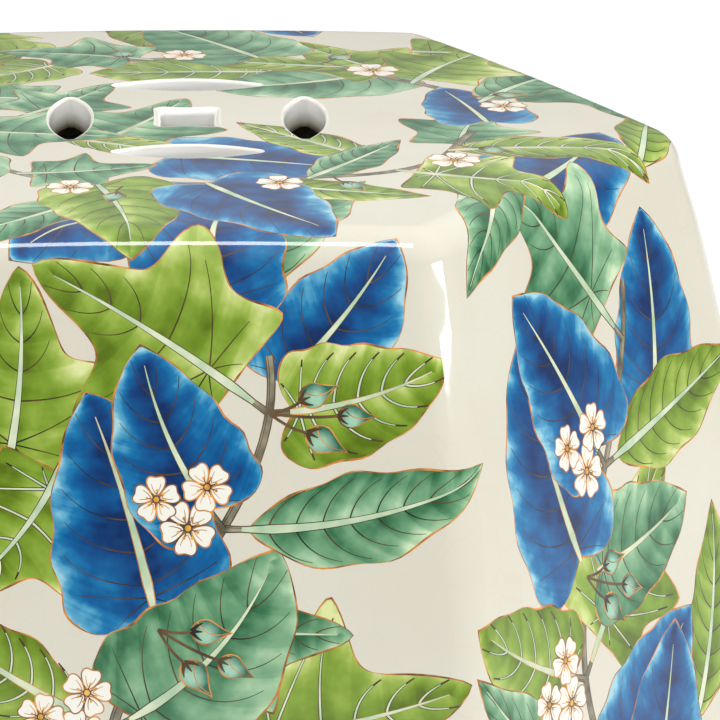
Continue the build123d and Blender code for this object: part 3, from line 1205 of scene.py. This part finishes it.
# Piercing of the seat: four slots round a hole with curved sides
coin = {
    "sideLength": 46.6, "sideWidth": 12.2, "sideReach": 34.5,
    "flank": 2.4,           # fullness of the side slots: 2 is a plain lens
    "frontLength": 45.7, "frontWidth": 13.6, "frontReach": 37.5,
    "eyeWidth": 16.4, "eyeDepth": 19.6, "eyeSag": 1.0, "eyeEnd": 0.2,
    "tip": 1.3,             # rounding of the points, in plan
    "lip": 0.9,
    "eyeLip": 2.1,          # the hole in the middle is rounded over further
}


def bowedRun(start, end, sag, count):
    # points from start to just short of end, on an arc that bulges to the right by sag
    start, end = np.array(start, float), np.array(end, float)
    t = np.linspace(0, 1, count, endpoint=False)[:, None]
    side = np.array([end[1] - start[1], start[0] - end[0]]) / np.linalg.norm(end - start)
    return start + t * (end - start) + 4 * t * (1 - t) * sag * side


def slotLoop(length, width, count=34):
    # drawn smaller by the rounding of its points, which softened() gives back
    radius = (length ** 2 + width ** 2) / (4 * width)
    tip = math.sqrt((radius - coin["tip"]) ** 2 - (radius - width / 2) ** 2)
    belly = width / 2 - coin["tip"]
    near, far = bowedRun((-tip, 0), (tip, 0), belly, count), bowedRun((tip, 0), (-tip, 0), belly, count)
    return np.concatenate([near, far])


def fullLoop(length, width, count=34):
    # slot with fuller flanks that still comes to a point, drawn smaller in the same way
    x = np.linspace(-1, 1, count, endpoint=False)
    flank = 1 - np.abs(x) ** coin["flank"]
    half = np.column_stack([(length / 2 - coin["tip"]) * x, -(width / 2 - coin["tip"]) * flank])
    return np.concatenate([half, -half])


def eyeLoop():
    x, y = coin["eyeWidth"] / 2 - 1.2 * coin["tip"], coin["eyeDepth"] / 2 - 1.2 * coin["tip"]
    sags = [coin["eyeSag"], coin["eyeEnd"]] * 2
    corners = [(-x, -y), (x, -y), (x, y), (-x, y)]
    return np.concatenate([bowedRun(corners[n], corners[(n + 1) % 4], -sags[n], 14) for n in range(4)])


def coinLoops():
    front = slotLoop(coin["frontLength"], coin["frontWidth"])
    side = fullLoop(coin["sideLength"], coin["sideWidth"]) @ np.array([[0, 1], [-1, 0]])
    return [eyeLoop(), front - [0, coin["frontReach"]], front + [0, coin["frontReach"]],
            side - [coin["sideReach"], 0], side + [coin["sideReach"], 0]]


def softened(loop, distance):
    # the hole's outline moved outwards, going round its points
    grown = []
    before, after = np.roll(loop, 1, axis=0), np.roll(loop, -1, axis=0)
    for here, last, ahead in zip(loop, before, after):
        first, second = unit(here - last), unit(ahead - here)
        turn = math.atan2(first[0] * second[1] - first[1] * second[0], first @ second)
        start = math.atan2(-first[0], first[1])
        steps = max(1, int(turn / 0.25)) if turn > 0.3 else 0
        for step in range(steps + 1):
            angle = start + (turn * step / steps if steps else turn / 2)
            grown.append(here + distance * turned(angle))
    return np.array(grown)


def seatRow(reach, arcCount):
    # one row round all six sides, at a distance outside the seat's edge line
    core, rows = seatEdge["core"], []
    for number, facet in enumerate(facets):
        first, last = core[number] @ facet["along"], core[(number + 1) % 6] @ facet["along"]
        steps = np.linspace(first, last, int((last - first) / grain["along"]))
        out = seatEdge["distance"][number] + reach
        rows.append(np.outer(steps, facet["along"]) + out * facet["out"])
        turn, radius = facet["turnEnd"], seatEdge["round"] + reach
        for angle in np.linspace(0, turn, arcCount(radius * turn))[1:-1]:
            way = math.cos(angle) * facet["out"] + math.sin(angle) * facet["along"]
            rows.append((core[(number + 1) % 6] + radius * way)[None])
    return np.concatenate(rows)


def seatOutline():
    # the joint line
    return seatRow(seatEdge["joint"], lambda length: int(length / grain["joint"]))


def seatSpots():
    shoulder = np.arange(0.0, seatEdge["arc"], grain["corner"])
    skirt = np.arange(seatEdge["arc"], seatEdge["joint"] - 1, grain["skirt"])
    reaches = np.concatenate([shoulder, skirt])
    spots = [seatRow(reach, lambda length: grain["seatTurn"]) for reach in reaches]
    wide, step = stool["rimWidth"] / 2, grain["level"]
    level = gridOf(np.arange(step / 2 - wide, wide, step), np.arange(step / 2 - halfDepth, halfDepth, step))
    spots.append(level[outsideSeat(level)[0] < -1.5])
    return np.concatenate(spots)


def overShoulder(number, shapes):
    # what a facet's spray paints above the joint, moved into the seat's flat measure
    facet = facets[number]
    jointW = float(upTheWall(stool["seatJoint"]))
    middle = float(flatPart(facet, stool["seatJoint"], 0.0, stool["corner"])[1])
    far = seatEdge["distance"][number] + seatEdge["joint"]

    def toSeat(points):
        inward = far - (points[:, 1] - jointW)
        return np.outer(points[:, 0] + middle, facet["along"]) + np.outer(inward, facet["out"])

    def toWall(points):
        return np.column_stack([points @ facet["along"] - middle, far - points @ facet["out"] + jointW])

    moved = []
    for shape in shapes:
        if shape["points"][:, 1].max() > jointW - 1:
            local = shape["local"]
            if local:
                local = lambda at, home=local: home(toWall(at))
            moved.append({"points": toSeat(shape["points"]), "ink": shape["ink"], "local": local})
    return moved


def seatPiece(sprays):
    loops = coinLoops()
    holes = [softened(loop, coin["tip"]) for loop in loops]
    rounding = [coin["eyeLip"]] + [coin["lip"]] * 4
    lips = [softened(loop, coin["tip"] + lip) for loop, lip in zip(loops, rounding)]
    shapes = []
    for number in range(6):
        shapes += overShoulder(number, sprays[number])
    shapes += paintWreath()
    points, faces, tops = paintedSheet(seatOutline(), lips, seatSpots(), shapes)
    shell = paintedShell(seatPoint, points, faces, tops, shapes)
    loops = boundaryLoops(faces)
    outer = max(loops, key=lambda loop: np.ptp(points[loop][:, 0]))
    bottoms = []
    for loop in loops:
        if loop is not outer:
            bottoms.append(pierce(shell, points[loop], loop, lips, holes, rounding))
    underSeat(shell, points[outer], outer, bottoms)
    return shell.finish("painted_seat", "seat_top")


def inStep(points, line, other):
    # places on one closed line, carried over to another that has the same corners
    along = np.roll(line, -1, axis=0) - line
    share = np.einsum("ijk,jk->ij", points[:, None] - line[None], along) / np.sum(along ** 2, axis=1)
    share = np.clip(share, 0, 1)
    gap = np.sum((line + share[:, :, None] * along - points[:, None]) ** 2, axis=2)
    best = np.argmin(gap, axis=1)
    share = share[np.arange(len(points)), best][:, None]
    return other[best] * (1 - share) + np.roll(other, -1, axis=0)[best] * share


def pierce(shell, rim, loop, lips, holes, rounding):
    # rounded lip and upright wall of one hole, whose outline runs in step with the lip's
    number = min(range(len(lips)), key=lambda n: np.linalg.norm(lips[n].mean(axis=0) - rim.mean(axis=0)))
    edge, lip = inStep(rim, lips[number], holes[number]), rounding[number]
    way = (edge - rim) / np.maximum(np.linalg.norm(edge - rim, axis=1), 1e-9)[:, None]
    top = domeHeight(rim[:, 0], rim[:, 1])
    smooth = {int(corner): (0.0, 0.0, 1.0) for corner in loop}
    upper = loop
    for angle in np.linspace(0, math.pi / 2, 8)[1:]:
        level = rim + way * lip * math.sin(angle)
        verts = np.column_stack([level, top - lip * (1 - math.cos(angle))])
        lower = np.arange(len(rim)) + shell.addVerts(verts)
        for corner, (x, y) in zip(lower, way):
            smooth[int(corner)] = (x * math.sin(angle), y * math.sin(angle), math.cos(angle))
        shell.addStrip(upper, lower, "hole", room["lip"], smooth)
        upper = lower
    verts = np.column_stack([edge, top - stool["seat"]])
    lower = np.arange(len(rim)) + shell.addVerts(verts)
    for corner, (x, y) in zip(lower, way):
        smooth[int(corner)] = (x, y, 0.0)
    shell.addStrip(upper, lower, "hole", room["lip"], smooth)
    return edge, lower


def ceilingSpots(holes):
    # level places under the seat, clear of its edge and of the holes
    wide, step = stool["rimWidth"] / 2, grain["inside"]
    spots = gridOf(np.arange(-wide, wide, step), np.arange(-halfDepth, halfDepth, step))
    clear = outsideSeat(spots)[0] < -2 * stool["wall"]
    for hole in holes:
        clear &= ~within(spots, hole) & (nearestOnLoop(spots, hole)[1] > 2)
    return spots[clear]


def underSeat(shell, rim, loop, bottoms):
    # joint face, inside of the skirt and underside
    z = np.full(len(rim), stool["seatJoint"])
    line, way = outsideSeat(rim)[1:]
    facing = np.argmax([way @ facet["out"] for facet in facets], axis=0)
    joint, ceiling = np.zeros((len(rim), 3)), np.zeros((len(rim), 3))
    top = np.full(len(rim), rimZ - stool["seat"])
    for number, facet in enumerate(facets):
        mine = facing == number
        x = skirtX(facet, line[mine], way[mine], z[mine])
        joint[mine] = insideWall(facet, x, z[mine])
        leftLow, rightLow = wallReach(facet, stool["seatJoint"])
        leftTop, rightTop = wallReach(facet, rimZ - stool["seat"])
        x = x * np.where(x < 0, leftTop / leftLow, rightTop / rightLow)
        ceiling[mine] = insideWall(facet, x, top[mine])
    low = np.arange(len(rim)) + shell.addVerts(joint)
    shell.addStrip(loop, low, "clay", room["edge"])
    high = np.arange(len(rim)) + shell.addVerts(ceiling)
    shell.addStrip(low, high, "clay", room["under"])
    verts, polygons, owners = [], [], []
    for flat, ids in [(ceiling[:, :2], high)] + bottoms:
        if signedArea(flat) < 0:
            flat, ids = flat[::-1], ids[::-1]
        polygons.append(list(range(len(verts), len(verts) + len(flat))))
        verts.extend(Vector(point) for point in flat)
        owners.extend(int(i) for i in ids)
    spots = ceilingSpots([flat for flat, ids in bottoms])
    below = np.column_stack([spots, domeHeight(spots[:, 0], spots[:, 1]) - stool["seat"]])
    owners.extend(range(shell.addVerts(below), shell.count))
    verts.extend(Vector(point) for point in spots)
    flat = fitted(np.array(verts), room["inside"])
    found = delaunay_2d_cdt(verts, [], polygons, 1, 1e-5, True)
    for face, inside in zip(found[2], found[5]):
        if inside == [0]:
            inputs = [found[3][corner][0] for corner in face][::-1]
            shell.addFace([owners[corner] for corner in inputs], "clay", flat[inputs])


lowW, highW = float(upTheWall(stool["baseJoint"])), float(upTheWall(stool["seatJoint"]))
sprays = [paintSpray(number, lowW, highW) for number in range(6)]
print("sprays:", [len(shapes) for shapes in sprays])
walls = [wallPiece(number, sprays, lowW, highW) for number in range(6)]
print("walls:", [len(wall.data.polygons) for wall in walls])
seat = seatPiece(sprays)
print("seat:", len(seat.data.polygons))


# Foot: rows round all six sides, from the joint down the outside, under the foot and up through its mouth
footGrain = {"corner": 9, "along": 16, "rows": 7, "edge": 5, "bare": 1.0}  # bare: angle where the glaze ends


def footRow(z, wall, radius):
    row = []
    for facet in facets:
        left, right = [float(v) for v in wallReach(facet, z, wall, radius)]
        half = float(flatPart(facet, z, wall, radius)[2])
        arc = np.linspace(0, 1, footGrain["corner"])
        before, after = -left + (left - half) * arc[:-1], half + (right - half) * arc[1:-1]
        x = np.concatenate([before, np.linspace(-half, half, footGrain["along"]), after])
        row.append(wallPoint(facet, x, np.full(len(x), float(z)), wall, radius))
    return np.concatenate(row)


def levelRow(flat, z):
    return np.column_stack([flat, np.full(len(flat), z)])


def footPiece():
    shell = Shell()
    rows, slots = [], []
    under = stool["standing"]
    for z in np.linspace(stool["baseJoint"], under + stool["foot"], footGrain["rows"]):
        rows.append(footRow(z, 0.0, stool["corner"]))
        slots.append("cream")
    lip = rows[-1]
    way = lip[:, :2] / np.linalg.norm(lip[:, :2], axis=1)[:, None]
    for angle in np.linspace(0, math.pi / 2, footGrain["rows"])[1:]:
        flat = lip[:, :2] - way * stool["foot"] * (1 - math.cos(angle))
        rows.append(levelRow(flat, under + stool["foot"] * (1 - math.sin(angle))))
        slots.append("cream" if angle < footGrain["bare"] else "clay")
    outside = len(rows)
    ring = way * stool["mouth"]
    edge = stool["mouthEdge"]
    top = under + stool["base"]
    for angle in np.linspace(0, math.pi / 2, footGrain["edge"]):
        rows.append(levelRow(ring + way * edge * (1 - math.sin(angle)), under + edge * (1 - math.cos(angle))))
        slots.append("clay")
    for angle in np.linspace(0, math.pi / 2, footGrain["edge"]):
        rows.append(levelRow(ring + way * edge * (1 - math.cos(angle)), top - edge * (1 - math.sin(angle))))
        slots.append("clay")
    for z in (top, stool["baseJoint"]):
        rows.append(footRow(z, stool["wall"], stool["insideCorner"]))
        slots.append("clay")
    starts = [shell.addVerts(row) for row in rows]
    size = len(rows[0])
    smooth = outsideNormals(rows, starts, outside)
    for number in range(len(rows)):
        after = (number + 1) % len(rows)
        upper, lower = np.arange(size) + starts[number], np.arange(size) + starts[after]
        curved = number < outside - 1
        band = (0.0, 1 - (number + 1) / len(rows), 1.0, 1 - (number + 0.02) / len(rows))
        shell.addStrip(upper, lower, slots[number], band, smooth if curved else None)
    return shell.finish("glazed_foot", "base_ring")


def outsideNormals(rows, starts, count):
    normals = {}
    for number in range(count):
        down = rows[number + 1] - rows[max(number - 1, 0)]
        around = np.roll(rows[number], -1, axis=0) - np.roll(rows[number], 1, axis=0)
        out = np.cross(down, around)
        out = out / np.linalg.norm(out, axis=1)[:, None]
        for place, normal in enumerate(out):
            normals[starts[number] + place] = tuple(normal)
    return normals


foot = footPiece()
print("foot:", len(foot.data.polygons))


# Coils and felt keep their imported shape
coilClay = {"roughness": 0.75, "ior": 1.45, "grain": (420.0, 6.0), "bump": (0.4, 0.0006),
            "dark": srgb(196, 184, 160), "light": srgb(226, 216, 196)}
greyFelt = {"roughness": 0.95, "ior": 1.4, "grain": (1600.0, 8.0), "bump": (0.8, 0.0004),
            "dark": srgb(92, 84, 74), "light": srgb(142, 132, 118)}


def makeRough(name, rule):
    material, nodes, links, shader = newMaterial(name, rule["roughness"], rule["ior"])
    place = nodes.new("ShaderNodeTexCoord")
    grit = addNoise(nodes, links, place.outputs["Object"], *rule["grain"])
    colour = addRamp(nodes, links, grit, [(0.3, rule["dark"]), (0.7, rule["light"])])
    links.new(colour.outputs["Color"], shader.inputs["Base Color"])
    bump = nodes.new("ShaderNodeBump")
    bump.inputs["Strength"].default_value, bump.inputs["Distance"].default_value = rule["bump"]
    links.new(grit, bump.inputs["Height"])
    links.new(bump.outputs["Normal"], shader.inputs["Normal"])
    return material


clay, felt = makeRough("coil_clay", coilClay), makeRough("grey_felt", greyFelt)
for name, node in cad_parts.items():
    if "coil" in name or "pad" in name:
        node.data.materials.clear()
        node.data.materials.append(felt if "pad" in name else clay)
print("coils and pads dressed")


# Stage, light and camera
studio = {
    "floorSize": 60.0,
    "floorReach": 8.0,      # where the floor's fading ends
    "floor": [(0.0, grey(0.8)), (0.33, grey(0.8)), (0.6, grey(0.3)), (1.0, grey(0.25))],
    "world": 1.18,
    "sky": [(0.0, grey(0.2)), (0.12, grey(0.28)), (0.45, grey(0.74)), (1.0, grey(1.45))],
    "key": {"place": (0.0, -1.05, 2.75), "aim": (0.0, -0.1, 0.45), "size": (0.7, 0.5), "power": 16.0},
    "side": {"place": (1.85, -1.12, 0.70), "aim": (0.05, -0.1, 0.43), "size": (1.1, 0.115), "power": 16.5},
}


def addFloor():
    # pale round the stool and dimmer far off, so that the upright glaze doesn't mirror a white horizon
    size = studio["floorSize"] / 2
    mesh = bpy.data.meshes.new("floor")
    corners = [(-size, -size, 0), (size, -size, 0), (size, size, 0), (-size, size, 0)]
    mesh.from_pydata(corners, [], [(0, 1, 2, 3)])
    material, nodes, links, shader = newMaterial("pale_floor", 0.9, 1.3)
    place = nodes.new("ShaderNodeTexCoord")
    away = nodes.new("ShaderNodeVectorMath")
    away.operation = "LENGTH"
    links.new(place.outputs["Object"], away.inputs[0])
    share = addMath(nodes, links, "DIVIDE", away.outputs["Value"], studio["floorReach"])
    links.new(addRamp(nodes, links, share, studio["floor"]).outputs["Color"], shader.inputs["Base Color"])
    mesh.materials.append(material)
    floor = bpy.data.objects.new("floor", mesh)
    bpy.context.scene.collection.objects.link(floor)


def addLight(name, rule):
    light = bpy.data.lights.new(name, "AREA")
    light.shape = "RECTANGLE"
    light.size, light.size_y = rule["size"]
    light.energy = rule["power"]
    lamp = bpy.data.objects.new(name, light)
    lamp.location = rule["place"]
    lamp.rotation_euler = (Vector(rule["aim"]) - Vector(rule["place"])).to_track_quat("-Z", "Y").to_euler()
    lamp.visible_camera = False
    bpy.context.scene.collection.objects.link(lamp)


def addWorld():
    # bright overhead and dim at the horizon, so that upright faces keep deep colours
    world = bpy.data.worlds.new("studio")
    world.use_nodes = True
    nodes, links = world.node_tree.nodes, world.node_tree.links
    place = nodes.new("ShaderNodeTexCoord")
    parts = nodes.new("ShaderNodeSeparateXYZ")
    links.new(place.outputs["Generated"], parts.inputs["Vector"])
    sky = addRamp(nodes, links, parts.outputs["Z"], studio["sky"])
    links.new(sky.outputs["Color"], nodes["Background"].inputs["Color"])
    nodes["Background"].inputs["Strength"].default_value = studio["world"]
    bpy.context.scene.world = world


# The photograph's view: a long lens, from in front and above, framed on the seat's right half
view = {"distance": 5.5, "elevation": 15.07, "scale": 3.4, "axisPixel": (188.0, 116.2), "frame": 720}


def addCamera():
    camera = bpy.data.objects.new("camera", bpy.data.cameras.new("camera"))
    tilt = math.radians(view["elevation"])
    seatMiddle = Vector((0, 0, stool["height"] * mm))
    camera.location = seatMiddle + view["distance"] * Vector((0, -math.cos(tilt), math.sin(tilt)))
    across = (view["frame"] / 2 - view["axisPixel"][0]) / view["scale"] * mm
    down = (view["frame"] / 2 - view["axisPixel"][1]) / view["scale"] * mm
    target = seatMiddle + Vector((across, 0, 0)) - down * Vector((0, math.sin(tilt), math.cos(tilt)))
    camera.rotation_euler = (target - camera.location).to_track_quat("-Z", "Y").to_euler()
    camera.data.sensor_width = 36.0
    camera.data.lens = 36.0 * view["distance"] / (view["frame"] / view["scale"] * mm)
    camera.data.clip_end = 200.0
    bpy.context.scene.collection.objects.link(camera)
    bpy.context.scene.camera = camera


addFloor()
addLight("overhead_softbox", studio["key"])
addLight("side_softbox", studio["side"])
addWorld()
addCamera()
bpy.context.scene.view_settings.view_transform = "Standard"
print("stage set")
